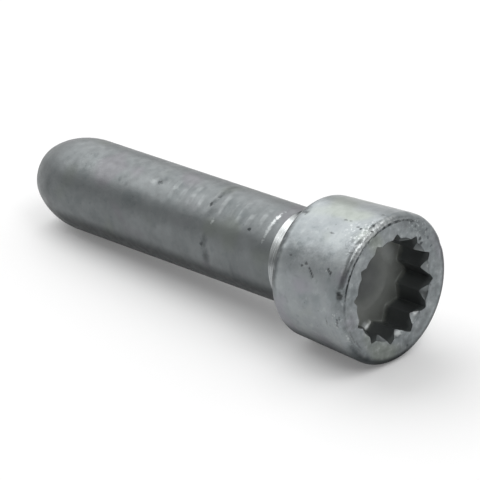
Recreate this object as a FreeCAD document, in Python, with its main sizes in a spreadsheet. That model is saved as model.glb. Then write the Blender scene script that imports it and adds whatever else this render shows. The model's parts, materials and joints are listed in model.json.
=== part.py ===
"""Socket-head wheel hub bolt, M14 by 2, with a twelve-point socket.

One cold-forged piece: a cylindrical head with a little forging draft, a
twelve-point socket made of three squares, a plain neck under the head, a
threaded shank and a rounded lead-in point. The fine thread itself isn't cut
here: the shank has the size over its crests.

The bolt is drawn along its own axis: X points out of the head's face, the
bearing face under the head is X = 0, and lengths are in millimetres. Its
Placement then lays it on the floor, Z = 0, on the rear rim of the head and
on the point, as a loose bolt comes to rest.
"""

import FreeCAD
import Part
import Sketcher

import math
import os

Vector = FreeCAD.Vector

DRIVING_SIZES = [
    ("thread_diameter", 14.0, "over the thread's crests"),
    ("neck_diameter", 12.7, "plain neck, rolled down to the pitch diameter"),
    ("neck_length", 3.2, "bearing face to the full thread"),
    ("runout_length", 0.9, "shoulder from the neck up to the thread"),
    ("shank_length", 55.0, "bearing face to the end of the point"),
    ("point_length", 8.0, "rounded lead-in point"),
    ("point_diameter", 9.0, "end face of the point"),
    ("point_edge_round", 0.8, "edge of that end face"),
    ("head_height", 14.0, "bearing face to the head's face"),
    ("head_diameter", 21.7, "at the head's face"),
    ("head_draft", 2.8, "degrees, the head narrows towards the shank"),
    ("face_edge_round", 0.9, "front rim of the head"),
    ("rear_edge_round", 1.5, "rear rim of the head"),
    ("neck_fillet", 0.6, "under the head"),
    ("socket_across_points", 16.0, "tip to tip over the twelve points"),
    ("socket_depth", 5.5, "head's face to the foot of the socket walls"),
    ("socket_dish", 0.8, "shallow cone in the socket's floor"),
    ("mouth_diameter", 14.5, "45 degree lead-in at the socket's mouth"),
    ("cutter_clearance", 0.3, "how far the lead-in runs past the teeth"),
    ("roll_angle", 188.0, "degrees the bolt has rolled about its axis"),
]

DERIVED_SIZES = [
    ("thread_radius", "=thread_diameter / 2"),
    ("neck_radius", "=neck_diameter / 2"),
    ("head_radius", "=head_diameter / 2"),
    ("rear_radius", "=head_radius - head_height * tan(head_draft * 1deg)"),
    ("point_radius", "=point_diameter / 2"),
    ("point_drop", "=thread_radius - point_radius"),
    ("point_arc", "=(point_length^2 + point_drop^2) / (2 * point_drop)"),
    ("point_start", "=shank_length - point_length"),
    ("square_side", "=socket_across_points / sqrt(2)"),
    ("tooth_radius", "=socket_across_points / 2 * cos(45deg) / cos(30deg)"),
    ("dish_radius", "=square_side / 2"),
    ("mouth_radius", "=mouth_diameter / 2"),
    ("lead_in_depth", "=mouth_radius - tooth_radius + cutter_clearance"),
]

# The floor is the line that touches the rounding of the head's rear rim and
# the arc of the point. These values place both circles in the bolt's own
# half plane, X along the axis and r away from it, and then the line itself.
REST_VALUES = [
    ("rim_r", "=rear_radius + rear_edge_round * tan(head_draft * 1deg)"
              " - rear_edge_round / cos(head_draft * 1deg)"),
    ("centre_run", "=rear_edge_round + point_start"),
    ("centre_rise", "=rim_r - thread_radius + point_arc"),
    ("rest_tilt", "=atan(centre_rise / centre_run) / 1deg"
                  " - asin((point_arc - rear_edge_round)"
                  " / hypot(centre_run; centre_rise)) / 1deg"),
    ("rest_height", "=rim_r * cos(rest_tilt * 1deg)"
                    " - rear_edge_round * sin(rest_tilt * 1deg)"
                    " + rear_edge_round"),
    ("face_rim_x", "=head_height - face_edge_round"),
    ("face_rim_r", "=head_radius - face_edge_round * tan(head_draft * 1deg)"
                   " - face_edge_round / cos(head_draft * 1deg)"),
    ("end_rim_x", "=shank_length - point_edge_round"),
    ("end_rim_r", "=thread_radius - point_arc"
                  " + sqrt((point_arc - point_edge_round)^2"
                  " - (point_length - point_edge_round)^2)"),
    ("reach_head", "=face_rim_x * cos(rest_tilt * 1deg)"
                   " + face_rim_r * sin(rest_tilt * 1deg) + face_edge_round"),
    ("reach_point", "=end_rim_x * cos(rest_tilt * 1deg)"
                    " + end_rim_r * sin(rest_tilt * 1deg) + point_edge_round"),
    ("rest_shift", "=(reach_point - reach_head) / 2"),
]


def make_sheet(doc):
    """Spreadsheet with the driving sizes, and what follows from them."""
    sheet = doc.addObject("Spreadsheet::Sheet", "Sizes")
    row = 1
    for alias, value, note in DRIVING_SIZES:
        sheet.set(f"A{row}", alias)
        sheet.set(f"B{row}", str(value))
        sheet.set(f"C{row}", note)
        sheet.setAlias(f"B{row}", alias)
        row += 1
    doc.recompute()
    for alias, formula in DERIVED_SIZES + REST_VALUES:
        sheet.set(f"A{row}", alias)
        sheet.set(f"B{row}", formula)
        sheet.setAlias(f"B{row}", alias)
        doc.recompute()
        row += 1
    return sheet


def origin_plane(body, role):
    """The body's own XY, XZ or YZ plane."""
    for feature in body.Origin.OriginFeatures:
        if feature.Role == role:
            return feature
    raise ValueError(role)


def new_sketch(body, name, role):
    """Empty sketch on one of the body's origin planes."""
    sketch = body.newObject("Sketcher::SketchObject", name)
    sketch.AttachmentSupport = [(origin_plane(body, role), "")]
    sketch.MapMode = "FlatFace"
    return sketch


def add_outline(sketch, points):
    """Closed outline of straight lines through the points."""
    lines = []
    for index, point in enumerate(points):
        following = points[(index + 1) % len(points)]
        lines.append(sketch.addGeometry(Part.LineSegment(point, following)))
    for index, line in enumerate(lines):
        following = lines[(index + 1) % len(lines)]
        sketch.addConstraint(Sketcher.Constraint("Coincident", line, 2, following, 1))
    return lines


def bind_distance(sketch, kind, name, first, second, formula, value):
    """Distance between two sketch points, driven by a cell of the sheet."""
    constraint = Sketcher.Constraint(kind, *first, *second, value)
    index = sketch.addConstraint(constraint)
    sketch.renameConstraint(index, name)
    sketch.setExpression(f"Constraints.{name}", formula)


def circle_edges(shape, x, radius):
    """Names of the round edges about the X axis with this place and radius."""
    names = []
    for number, edge in enumerate(shape.Edges, start=1):
        curve = edge.Curve
        if not isinstance(curve, Part.Circle):
            continue
        same_place = abs(curve.Center.x - x) < 1e-3
        if same_place and abs(curve.Radius - radius) < 1e-3:
            names.append(f"Edge{number}")
    return names


def round_edge(body, name, x, radius, formula):
    """Fillet on the one round edge at this place, sized by the sheet."""
    body.Document.recompute()
    base = body.Tip
    edges = circle_edges(base.Shape, x, radius)
    if len(edges) != 1:
        raise ValueError(f"{name}: {len(edges)} edges at x {x}, radius {radius}")
    fillet = body.newObject("PartDesign::Fillet", name)
    fillet.Base = (base, edges)
    fillet.setExpression("Radius", formula)
    body.Document.recompute()
    return fillet


def make_blank(body, sheet):
    """Forged blank: head, neck, shank and rounded point, turned in one."""
    sketch = new_sketch(body, "BlankProfile", "XZ_Plane")
    origin = (-1, 1)
    neck_end = sheet.neck_length - sheet.runout_length
    face_centre = Vector(sheet.head_height, 0, 0)
    face_rim = Vector(sheet.head_height, sheet.head_radius, 0)
    rear_rim = Vector(0, sheet.rear_radius, 0)
    neck_root = Vector(0, sheet.neck_radius, 0)
    neck_stop = Vector(-neck_end, sheet.neck_radius, 0)
    thread_start = Vector(-sheet.neck_length, sheet.thread_radius, 0)
    thread_stop = Vector(-sheet.point_start, sheet.thread_radius, 0)
    end_rim = Vector(-sheet.shank_length, sheet.point_radius, 0)
    end_centre = Vector(-sheet.shank_length, 0, 0)

    face = sketch.addGeometry(Part.LineSegment(face_centre, face_rim))
    side = sketch.addGeometry(Part.LineSegment(face_rim, rear_rim))
    bearing = sketch.addGeometry(Part.LineSegment(rear_rim, neck_root))
    neck = sketch.addGeometry(Part.LineSegment(neck_root, neck_stop))
    shoulder = sketch.addGeometry(Part.LineSegment(neck_stop, thread_start))
    shank = sketch.addGeometry(Part.LineSegment(thread_start, thread_stop))
    arc_centre = Vector(-sheet.point_start, sheet.thread_radius - sheet.point_arc, 0)
    arc_circle = Part.Circle(arc_centre, Vector(0, 0, 1), sheet.point_arc)
    turned = math.asin(sheet.point_length / sheet.point_arc)
    point = sketch.addGeometry(Part.ArcOfCircle(arc_circle, math.pi / 2, math.pi / 2 + turned))
    end = sketch.addGeometry(Part.LineSegment(end_rim, end_centre))
    axis = sketch.addGeometry(Part.LineSegment(end_centre, face_centre))

    chain = [face, side, bearing, neck, shoulder, shank]
    for before, after in zip(chain, chain[1:]):
        sketch.addConstraint(Sketcher.Constraint("Coincident", before, 2, after, 1))
    sketch.addConstraint(Sketcher.Constraint("Tangent", shank, 2, point, 1))
    sketch.addConstraint(Sketcher.Constraint("Coincident", point, 2, end, 1))
    sketch.addConstraint(Sketcher.Constraint("Coincident", end, 2, axis, 1))
    sketch.addConstraint(Sketcher.Constraint("Coincident", axis, 2, face, 1))
    for line in (face, bearing, end):
        sketch.addConstraint(Sketcher.Constraint("Vertical", line))
    for line in (neck, shank):
        sketch.addConstraint(Sketcher.Constraint("Horizontal", line))
    sketch.addConstraint(Sketcher.Constraint("PointOnObject", axis, 1, -1))
    sketch.addConstraint(Sketcher.Constraint("PointOnObject", axis, 2, -1))
    sketch.addConstraint(Sketcher.Constraint("PointOnObject", bearing, 1, -2))

    def along(name, start, stop, formula, value):
        bind_distance(sketch, "DistanceX", name, start, stop, formula, value)

    def across(name, stop, formula, value):
        bind_distance(sketch, "DistanceY", name, origin, stop, formula, value)

    along("HeadHeight", origin, (face, 1), "Sizes.head_height", sheet.head_height)
    across("HeadRadius", (face, 2), "Sizes.head_radius", sheet.head_radius)
    across("RearRadius", (side, 2), "Sizes.rear_radius", sheet.rear_radius)
    across("NeckRadius", (neck, 1), "Sizes.neck_radius", sheet.neck_radius)
    along("NeckStop", (neck, 2), origin, "Sizes.neck_length - Sizes.runout_length", neck_end)
    along("NeckLength", (shank, 1), origin, "Sizes.neck_length", sheet.neck_length)
    across("ThreadRadius", (shank, 1), "Sizes.thread_radius", sheet.thread_radius)
    along("PointStart", (shank, 2), origin, "Sizes.point_start", sheet.point_start)
    along("ShankLength", (end, 1), origin, "Sizes.shank_length", sheet.shank_length)
    across("PointRadius", (end, 1), "Sizes.point_radius", sheet.point_radius)

    blank = body.newObject("PartDesign::Revolution", "Blank")
    blank.Profile = sketch
    blank.ReferenceAxis = (sketch, ["H_Axis"])
    blank.Angle = 360
    body.Document.recompute()
    return blank


def round_rims(body, sheet):
    """Rounded rims of the head and point, and the fillet under the head."""
    round_edge(body, "FaceRim", sheet.head_height, sheet.head_radius, "Sizes.face_edge_round")
    round_edge(body, "RearRim", 0, sheet.rear_radius, "Sizes.rear_edge_round")
    round_edge(body, "UnderHead", 0, sheet.neck_radius, "Sizes.neck_fillet")
    round_edge(body, "PointRim", -sheet.shank_length, sheet.point_radius, "Sizes.point_edge_round")


def make_socket(body, sheet):
    """Twelve-point socket: one square pocket, repeated at 30 and 60 degrees."""
    sketch = new_sketch(body, "SocketSquare", "YZ_Plane")
    sketch.setExpression("AttachmentOffset.Base.z", "Sizes.head_height")
    half = sheet.square_side / 2
    corners = [Vector(-half, -half, 0), Vector(half, -half, 0), Vector(half, half, 0), Vector(-half, half, 0)]
    bottom, right, top, left = add_outline(sketch, corners)
    for line in (bottom, top):
        sketch.addConstraint(Sketcher.Constraint("Horizontal", line))
    for line in (right, left):
        sketch.addConstraint(Sketcher.Constraint("Vertical", line))
    sketch.addConstraint(Sketcher.Constraint("Equal", bottom, right))
    sketch.addConstraint(Sketcher.Constraint("Symmetric", bottom, 1, top, 1, -1, 1))
    bind_distance(sketch, "DistanceX", "Side", (bottom, 1), (bottom, 2), "Sizes.square_side", sheet.square_side)

    pocket = body.newObject("PartDesign::Pocket", "SquarePocket")
    pocket.Profile = sketch
    pocket.Type = "Length"
    pocket.setExpression("Length", "Sizes.socket_depth")
    body.Document.recompute()

    star = body.newObject("PartDesign::PolarPattern", "TwelvePoints")
    star.Originals = [pocket]
    star.Axis = (sketch, ["N_Axis"])
    star.Angle = 60
    star.Occurrences = 3
    body.Tip = star
    body.Document.recompute()
    return star


def make_floor_dish(body, sheet):
    """Shallow cone that the forging punch leaves in the socket's floor."""
    sketch = new_sketch(body, "DishProfile", "XZ_Plane")
    floor = sheet.head_height - sheet.socket_depth
    centre = Vector(floor, 0, 0)
    rim = Vector(floor, sheet.dish_radius, 0)
    apex = Vector(floor - sheet.socket_dish, 0, 0)
    upright, slope, axis = add_outline(sketch, [centre, rim, apex])
    sketch.addConstraint(Sketcher.Constraint("Vertical", upright))
    sketch.addConstraint(Sketcher.Constraint("PointOnObject", axis, 1, -1))
    sketch.addConstraint(Sketcher.Constraint("PointOnObject", axis, 2, -1))
    bind_distance(sketch, "DistanceX", "FloorPlace", (-1, 1), (upright, 1),
                  "Sizes.head_height - Sizes.socket_depth", floor)
    bind_distance(sketch, "DistanceY", "DishRadius", (-1, 1), (slope, 1),
                  "Sizes.dish_radius", sheet.dish_radius)
    bind_distance(sketch, "DistanceX", "DishDepth", (axis, 1), (axis, 2),
                  "Sizes.socket_dish", sheet.socket_dish)
    return groove(body, "FloorDish", sketch)


def make_lead_in(body, sheet):
    """Lead-in cone at the socket's mouth, which trims the tooth tips."""
    sketch = new_sketch(body, "LeadInProfile", "XZ_Plane")
    foot_x = sheet.head_height - sheet.lead_in_depth
    foot_radius = sheet.mouth_radius - sheet.lead_in_depth
    points = [
        Vector(sheet.head_height, 0, 0),
        Vector(sheet.head_height, sheet.mouth_radius, 0),
        Vector(foot_x, foot_radius, 0),
        Vector(foot_x, 0, 0),
    ]
    mouth, cone, foot, axis = add_outline(sketch, points)
    for line in (mouth, foot):
        sketch.addConstraint(Sketcher.Constraint("Vertical", line))
    sketch.addConstraint(Sketcher.Constraint("PointOnObject", axis, 1, -1))
    sketch.addConstraint(Sketcher.Constraint("PointOnObject", axis, 2, -1))
    bind_distance(sketch, "DistanceX", "FacePlace", (-1, 1), (mouth, 1),
                  "Sizes.head_height", sheet.head_height)
    bind_distance(sketch, "DistanceY", "MouthRadius", (-1, 1), (cone, 1),
                  "Sizes.mouth_radius", sheet.mouth_radius)
    bind_distance(sketch, "DistanceX", "LeadInDepth", (axis, 1), (axis, 2),
                  "Sizes.lead_in_depth", sheet.lead_in_depth)
    bind_distance(sketch, "DistanceY", "FootRadius", (-1, 1), (foot, 1),
                  "Sizes.mouth_radius - Sizes.lead_in_depth", foot_radius)
    return groove(body, "LeadIn", sketch)


def groove(body, name, sketch):
    """Full turn of the sketch about the bolt's axis, cut away."""
    body.Document.recompute()
    before = body.Tip.Shape.Volume
    cut = body.newObject("PartDesign::Groove", name)
    cut.Profile = sketch
    cut.ReferenceAxis = (sketch, ["H_Axis"])
    cut.Angle = 360
    body.Document.recompute()
    if cut.Shape.Volume >= before:
        raise ValueError(f"{name} cuts nothing")
    return cut


def lay_down(body):
    """Lay the bolt on the floor, with its box centred over the origin."""
    body.setExpression(
        "Placement",
        "placement(vector(Sizes.rest_shift; 0; Sizes.rest_height);"
        " rotation(vector(0; 1; 0); -Sizes.rest_tilt * 1deg)"
        " * rotation(vector(1; 0; 0); Sizes.roll_angle * 1deg))",
    )
    body.Document.recompute()


def check_document(doc):
    """Stop if any object failed, before anything is written."""
    for item in doc.Objects:
        if "Invalid" in item.State or "Error" in item.State:
            raise RuntimeError(f"{item.Name} is {item.State}")


def write_part(body):
    """Write the body's solid under its own label."""
    shape = body.Shape
    if shape.isNull() or not shape.isValid() or len(shape.Solids) != 1:
        raise RuntimeError(f"{body.Label} isn't one valid solid")
    os.makedirs("parts", exist_ok=True)
    shape.exportStep(f"parts/{body.Label}.step")
    box = shape.BoundBox
    print(f"{body.Label}: {shape.Volume:.1f} mm3, {box}")


def main():
    """Build the hub bolt and write it."""
    doc = FreeCAD.newDocument("HubBolt")
    sheet = make_sheet(doc)
    body = doc.addObject("PartDesign::Body", "HubBolt")
    body.Label = "hub_bolt"
    make_blank(body, sheet)
    round_rims(body, sheet)
    make_socket(body, sheet)
    make_floor_dish(body, sheet)
    make_lead_in(body, sheet)
    lay_down(body)
    check_document(doc)
    write_part(body)


main()
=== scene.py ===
"""Wheel hub bolt, M14 by 2, lying on a pale floor.

The bolt is one forged, rolled and coated piece: a rounded point, a shank with a shallow rolled thread, a
plain neck, and a head with a twelve-point socket. Its skin is drawn ring by ring about its own axis in
millimetres. Z points out of the head's face and the bearing face under the head is Z = 0. The finished skin
is then laid where the frame's driver socket says.

Marks of use, painted highlights and painted shade are placed on the skin one by one. Each says how far
along the axis it lies, how far out from the axis, and its angle about the axis, where 90 degrees is up as
the bolt lies and 180 faces the near side.
"""

import json
import logging
import math
from collections.abc import Callable
from dataclasses import dataclass, field
from enum import Enum

import bmesh
import bpy
from mathutils import Matrix, Vector

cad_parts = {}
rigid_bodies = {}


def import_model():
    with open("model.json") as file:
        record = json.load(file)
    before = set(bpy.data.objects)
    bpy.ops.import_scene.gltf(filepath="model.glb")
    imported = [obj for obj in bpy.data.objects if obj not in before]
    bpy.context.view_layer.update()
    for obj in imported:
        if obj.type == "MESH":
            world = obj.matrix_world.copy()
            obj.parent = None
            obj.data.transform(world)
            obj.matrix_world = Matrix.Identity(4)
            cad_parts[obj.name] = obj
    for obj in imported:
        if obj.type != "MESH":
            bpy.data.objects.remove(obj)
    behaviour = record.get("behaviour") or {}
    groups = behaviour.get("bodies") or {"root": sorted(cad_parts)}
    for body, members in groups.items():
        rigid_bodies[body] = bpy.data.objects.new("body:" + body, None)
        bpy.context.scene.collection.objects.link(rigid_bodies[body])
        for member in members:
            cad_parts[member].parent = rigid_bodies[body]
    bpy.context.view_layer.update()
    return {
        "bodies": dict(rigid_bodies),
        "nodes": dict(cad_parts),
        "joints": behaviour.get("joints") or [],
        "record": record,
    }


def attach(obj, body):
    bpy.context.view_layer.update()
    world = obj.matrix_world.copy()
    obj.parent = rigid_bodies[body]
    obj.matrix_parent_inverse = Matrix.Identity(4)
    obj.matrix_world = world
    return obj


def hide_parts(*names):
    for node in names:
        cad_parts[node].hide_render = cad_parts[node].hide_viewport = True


LOG = logging.getLogger("hub_bolt")

MM = 0.001
FULL_TURN = 2 * math.pi
NEAR_MM = 1e-3
MERGE_MM = 1e-4
RAGGED_EDGE_MM = 0.35
QUARTER_TURN_DEG = (22, 45, 67, 90)
SMOOTH_BELOW_DEG = 33

Station = tuple[float, float]
RingShape = Callable[[float], Station]
Socket = bpy.types.NodeSocket
InputValues = dict[str | int, object]


class Zone(Enum):
    """The bolt's finishes, each with the slot number that its faces get."""

    HEAD = 0
    THREAD = 1
    NECK = 2
    SOCKET = 3


def linear(hex_code: str) -> tuple[float, float, float, float]:
    """Turn an sRGB hex colour into linear values.

    Args:
        hex_code: Six hex digits, as in "8c9296".

    Returns:
        Red, green, blue and an alpha of 1.
    """
    channels = []
    for start in (0, 2, 4):
        value = int(hex_code[start:start + 2], 16) / 255
        channels.append(value / 12.92 if value <= 0.04045 else ((value + 0.055) / 1.055) ** 2.4)
    return (channels[0], channels[1], channels[2], 1.0)


def add_node(tree: bpy.types.NodeTree, kind: str, inputs: InputValues, **settings: object) -> bpy.types.Node:
    """Add a node, set it up and link it.

    Args:
        tree: The node tree that gets the node.
        kind: The node's type, without the leading "ShaderNode".
        inputs: Values by input name or number. A socket is linked, anything else is set.
        settings: Properties of the node itself.

    Returns:
        The new node.
    """
    node = tree.nodes.new("ShaderNode" + kind)
    for key, value in settings.items():
        setattr(node, key, value)
    for key, value in inputs.items():
        if isinstance(value, bpy.types.NodeSocket):
            tree.links.new(value, node.inputs[key])
        else:
            node.inputs[key].default_value = value
    return node


def arc(centre: Station, radius: float, start_deg: float, stop_deg: float, steps: int) -> list[Station]:
    """Stations along an arc in the bolt's half plane.

    Args:
        centre: Centre of the arc, along the axis and out from it.
        radius: Radius of the arc.
        start_deg: First angle, where 0 points along the axis and 90 away from it.
        stop_deg: Last angle.
        steps: Number of spans.

    Returns:
        The stations, both ends included.
    """
    stations = []
    for step in range(steps + 1):
        angle = math.radians(start_deg + (stop_deg - start_deg) * step / steps)
        stations.append((centre[0] + radius * math.cos(angle), centre[1] + radius * math.sin(angle)))
    return stations


def line(start: Station, stop: Station, steps: int) -> list[Station]:
    """Stations along a straight stretch, without its first end.

    Args:
        start: Where the stretch starts.
        stop: Where it stops.
        steps: Number of spans.

    Returns:
        The stations after the start, the stop included.
    """
    stations = []
    for step in range(1, steps + 1):
        share = step / steps
        stations.append((start[0] + (stop[0] - start[0]) * share, start[1] + (stop[1] - start[1]) * share))
    return stations


def smooth_step(low: float, high: float, value: float) -> float:
    """Rise smoothly from 0 at low to 1 at high."""
    share = min(max((value - low) / (high - low), 0.0), 1.0)
    return share * share * (3 - 2 * share)


class TurnedSkin:
    """A skin drawn ring by ring about the Z axis, in edit mode."""

    def __init__(self, name: str, angles: list[float], start: Station) -> None:
        """Add the first ring.

        Args:
            name: Name of the piece.
            angles: Rising angles of the columns, in radians from 0 to a full turn.
            start: Place of the first ring.
        """
        bpy.ops.object.select_all(action="DESELECT")
        bpy.ops.mesh.primitive_circle_add(vertices=len(angles), radius=start[1], fill_type="NOTHING")
        self.piece = bpy.context.object
        self.piece.name = name
        self.piece.data.name = name
        bpy.ops.object.mode_set(mode="EDIT")
        bpy.ops.mesh.select_all(action="SELECT")
        mesh = bmesh.from_edit_mesh(self.piece.data)
        in_order = sorted(mesh.verts, key=lambda vert: math.atan2(vert.co.y, vert.co.x) % FULL_TURN)
        for vert, angle in zip(in_order, angles):
            vert.co = (start[1] * math.cos(angle), start[1] * math.sin(angle), start[0])
        bmesh.update_edit_mesh(self.piece.data)

    def ring(self, shape: RingShape) -> None:
        """Extrude the open end into one more ring.

        Args:
            shape: Gives the ring's station at an angle.
        """
        bpy.ops.mesh.extrude_region_move()
        mesh = bmesh.from_edit_mesh(self.piece.data)
        for vert in mesh.verts:
            if vert.select:
                angle = math.atan2(vert.co.y, vert.co.x)
                along, out = shape(angle)
                vert.co = (out * math.cos(angle), out * math.sin(angle), along)
        bmesh.update_edit_mesh(self.piece.data)

    def rings(self, stations: list[Station]) -> None:
        """Extrude one round ring for each station."""
        for station in stations:
            self.ring(lambda angle, place=station: place)

    def divide(self, low: float, high: float, cuts: int) -> None:
        """Cut the one band of long faces between two rings into fine ones.

        Args:
            low: Where the band starts along the axis.
            high: Where it stops.
            cuts: Number of new rings.
        """
        bpy.ops.mesh.select_all(action="DESELECT")
        bpy.ops.mesh.select_mode(type="EDGE")
        mesh = bmesh.from_edit_mesh(self.piece.data)
        for edge in mesh.edges:
            first, second = sorted(vert.co.z for vert in edge.verts)
            edge.select_set(abs(first - low) < NEAR_MM and abs(second - high) < NEAR_MM)
        bmesh.update_edit_mesh(self.piece.data)
        bpy.ops.mesh.subdivide(number_cuts=cuts)
        bpy.ops.mesh.select_mode(type="VERT")

    def close(self) -> None:
        """Fill the two open ends and point every face outwards."""
        bpy.ops.mesh.select_mode(type="EDGE")
        bpy.ops.mesh.select_all(action="DESELECT")
        bpy.ops.mesh.select_non_manifold(extend=False)
        bpy.ops.mesh.edge_face_add()
        bpy.ops.mesh.select_mode(type="VERT")
        bpy.ops.mesh.select_all(action="SELECT")
        bpy.ops.mesh.remove_doubles(threshold=MERGE_MM)
        bpy.ops.mesh.normals_make_consistent(inside=False)

    def dent(self, dents: tuple["Mark", ...]) -> None:
        """Press dents into the skin.

        Args:
            dents: The dents, each as deep in millimetres as its strength says.
        """
        mesh = bmesh.from_edit_mesh(self.piece.data)
        for vert in mesh.verts:
            radius = math.hypot(vert.co.x, vert.co.y)
            angle_deg = math.degrees(math.atan2(vert.co.y, vert.co.x)) % 360
            depth = max(mark.depth_at(vert.co.z, radius, angle_deg) for mark in dents)
            if depth > 0:
                vert.co.x *= 1 - depth / radius
                vert.co.y *= 1 - depth / radius
        bmesh.update_edit_mesh(self.piece.data)

    def finish(self) -> bpy.types.Object:
        """Leave edit mode and return the piece."""
        bpy.ops.object.mode_set(mode="OBJECT")
        return self.piece


@dataclass
class DriverSocket:
    """Twelve-point socket: three squares at 30 degrees, with a lead-in cone that trims the tooth tips.

    The blunt foot grows between two cosines of the angle to its side. The wall starts and levels out at so
    many rounds of the edge below the mouth.
    """

    across_points: float = 16.0
    depth: float = 5.5
    dish: float = 0.8
    mouth: float = 14.5
    first_corner_deg: float = 23.0
    sector_deg: float = 30.0
    mouth_round: float = 0.12
    lead_in_round: float = 0.3
    corner_round: float = 0.07
    tip_round: float = 0.05
    worn_reach_deg: float = 0.3
    foot_round: float = 0.2
    blunt_foot_round: float = 0.9
    blunt_foot_deg: float = 267.5
    blunt_foot_low: float = 0.982
    blunt_foot_high: float = 0.992
    wall_start: float = 1.2
    wall_level: float = 1.6
    centre_flat: float = 0.5
    columns_by_lead_in: int = 4
    wall_steps: int = 5
    floor_steps: int = 10

    @property
    def half_side(self) -> float:
        """Half the side of each square."""
        return self.across_points / 2 * math.cos(math.radians(45))

    @property
    def lead_in_deg(self) -> float:
        """Angle from a corner to the place where the lead-in starts to trim the wall."""
        return 45 - math.degrees(math.acos(self.half_side / (self.mouth / 2)))

    @property
    def tip_trim(self) -> float:
        """How far the lead-in reaches down a tooth's tip."""
        return self.trimmed(math.radians(self.first_corner_deg + self.sector_deg / 2))

    def column_angles(self) -> list[float]:
        """Choose the angles for the skin's columns.

        Returns:
            Rising angles in radians, one on each corner, each tooth tip and each end of the lead-in.
        """
        half = self.sector_deg / 2
        steps = self.columns_by_lead_in
        within = [self.lead_in_deg * step / steps for step in range(steps)]
        within += [self.lead_in_deg + (half - self.lead_in_deg) * step / steps for step in range(steps)]
        mirrored = [self.sector_deg - angle for angle in within[1:]]
        offsets = sorted(within + [half] + mirrored)
        angles = []
        for sector in range(round(360 / self.sector_deg)):
            start = self.first_corner_deg + sector * self.sector_deg
            angles += [math.radians(start + offset) % FULL_TURN for offset in offsets]
        return sorted(angles)

    def from_corner(self, angle: float) -> float:
        """Degrees from an angle, in radians, to the nearest corner."""
        half = self.sector_deg / 2
        return abs((math.degrees(angle) - self.first_corner_deg + half) % self.sector_deg - half)

    def wall(self, angle: float) -> float:
        """Radius of the wall, with its corners and tips a little worn.

        Args:
            angle: Angle about the axis, in radians.

        Returns:
            Radius in millimetres.
        """
        away = self.from_corner(angle)
        radius = self.half_side / math.cos(math.radians(45 - away))
        if away < self.worn_reach_deg:
            radius -= self.corner_round
        if away > self.sector_deg / 2 - self.worn_reach_deg:
            radius += self.tip_round
        return radius

    def mouth_radius(self, angle: float) -> float:
        """Radius of the mouth at an angle, on the head's face."""
        return max(self.wall(angle), self.mouth / 2)

    def trimmed(self, angle: float) -> float:
        """How far the lead-in reaches down the wall at an angle."""
        return self.mouth_radius(angle) - self.wall(angle)

    def edge_round(self, angle: float) -> float:
        """Radius of the mouth's rounded edge: small on the corners, softer where the lead-in starts."""
        share = min(self.trimmed(angle) / self.tip_trim, 1)
        return self.mouth_round + (self.lead_in_round - self.mouth_round) * share

    def foot(self, angle: float) -> float:
        """Radius of the round at the wall's foot, small but for the flank that the punch left blunt.

        Args:
            angle: Angle about the axis, in radians.

        Returns:
            Radius in millimetres.
        """
        facing = math.cos(angle - math.radians(self.blunt_foot_deg))
        share = smooth_step(self.blunt_foot_low, self.blunt_foot_high, facing)
        return self.foot_round + (self.blunt_foot_round - self.foot_round) * share

    def cut(self, skin: TurnedSkin, face: float, outer: float) -> None:
        """Draw the face's inner part and the socket, from its mouth to its floor.

        Args:
            skin: The skin, open on the head's face.
            face: Where the head's face lies along the axis.
            outer: Radius of the skin's open ring.
        """
        for share in (0.5, 1.0):
            skin.ring(lambda angle: (
                face, outer + (self.mouth_radius(angle) + self.edge_round(angle) - outer) * share,
            ))
        for turn_deg in QUARTER_TURN_DEG:
            turn = math.radians(turn_deg)
            skin.ring(lambda angle: (
                face - self.edge_round(angle) * (1 - math.cos(turn)),
                self.mouth_radius(angle) + self.edge_round(angle) * (1 - math.sin(turn)),
            ))
        skin.ring(lambda angle: (
            face - self.wall_start * self.edge_round(angle) - self.trimmed(angle), self.wall(angle),
        ))
        top = self.wall_level * self.lead_in_round + self.tip_trim
        floor = face - self.depth
        for step in range(self.wall_steps + 1):
            skin.ring(lambda angle: (
                face - top - (self.depth - self.foot(angle) - top) * step / self.wall_steps, self.wall(angle),
            ))
        for turn_deg in QUARTER_TURN_DEG:
            turn = math.radians(turn_deg)
            skin.ring(lambda angle: (
                floor + self.foot(angle) * (1 - math.sin(turn)),
                self.wall(angle) - self.foot(angle) * (1 - math.cos(turn)),
            ))
        rim = (floor, self.half_side - self.blunt_foot_round)
        skin.rings([rim] + line(rim, (floor - self.dish, self.centre_flat), self.floor_steps))


@dataclass
class RolledThread:
    """Right-hand thread as it shows under the coat: broad rounded crests over shallow grooves.

    It is sharp on one side, and less so on the far side. Each side starts and is whole at two cosines of the
    angle to it.
    """

    pitch: float = 2.0
    depth: float = 0.085
    hollow_power: float = 1.4
    worn_depth: float = 0.025
    worn_from: float = -18.0
    worn_to: float = -30.0
    fade_from: float = -40.0
    fade_to: float = -46.5
    rings_per_pitch: int = 13
    worn_side_share: float = 0.1
    sharp_deg: float = 117.0
    sharp_low: float = 0.88
    sharp_high: float = 0.985
    far_side_share: float = 0.6
    far_deg: float = 326.0
    far_low: float = 0.1
    far_high: float = 0.6

    def groove(self, along: float, angle: float) -> float:
        """Depth of the groove below the crests.

        Args:
            along: Place along the axis.
            angle: Angle about the axis, in radians.

        Returns:
            Depth in millimetres.
        """
        turns = along / self.pitch - angle / FULL_TURN
        hollow = (0.5 - 0.5 * math.cos(FULL_TURN * turns)) ** self.hollow_power
        wear = smooth_step(self.worn_from, self.worn_to, along)
        fade = 1 - smooth_step(self.fade_from, self.fade_to, along)
        sharp = smooth_step(self.sharp_low, self.sharp_high, math.cos(angle - math.radians(self.sharp_deg)))
        side = self.worn_side_share + (1 - self.worn_side_share) * sharp
        far = smooth_step(self.far_low, self.far_high, math.cos(angle - math.radians(self.far_deg)))
        side += (self.far_side_share - side) * far
        return hollow * fade * side * (self.depth + (self.worn_depth - self.depth) * wear)


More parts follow.
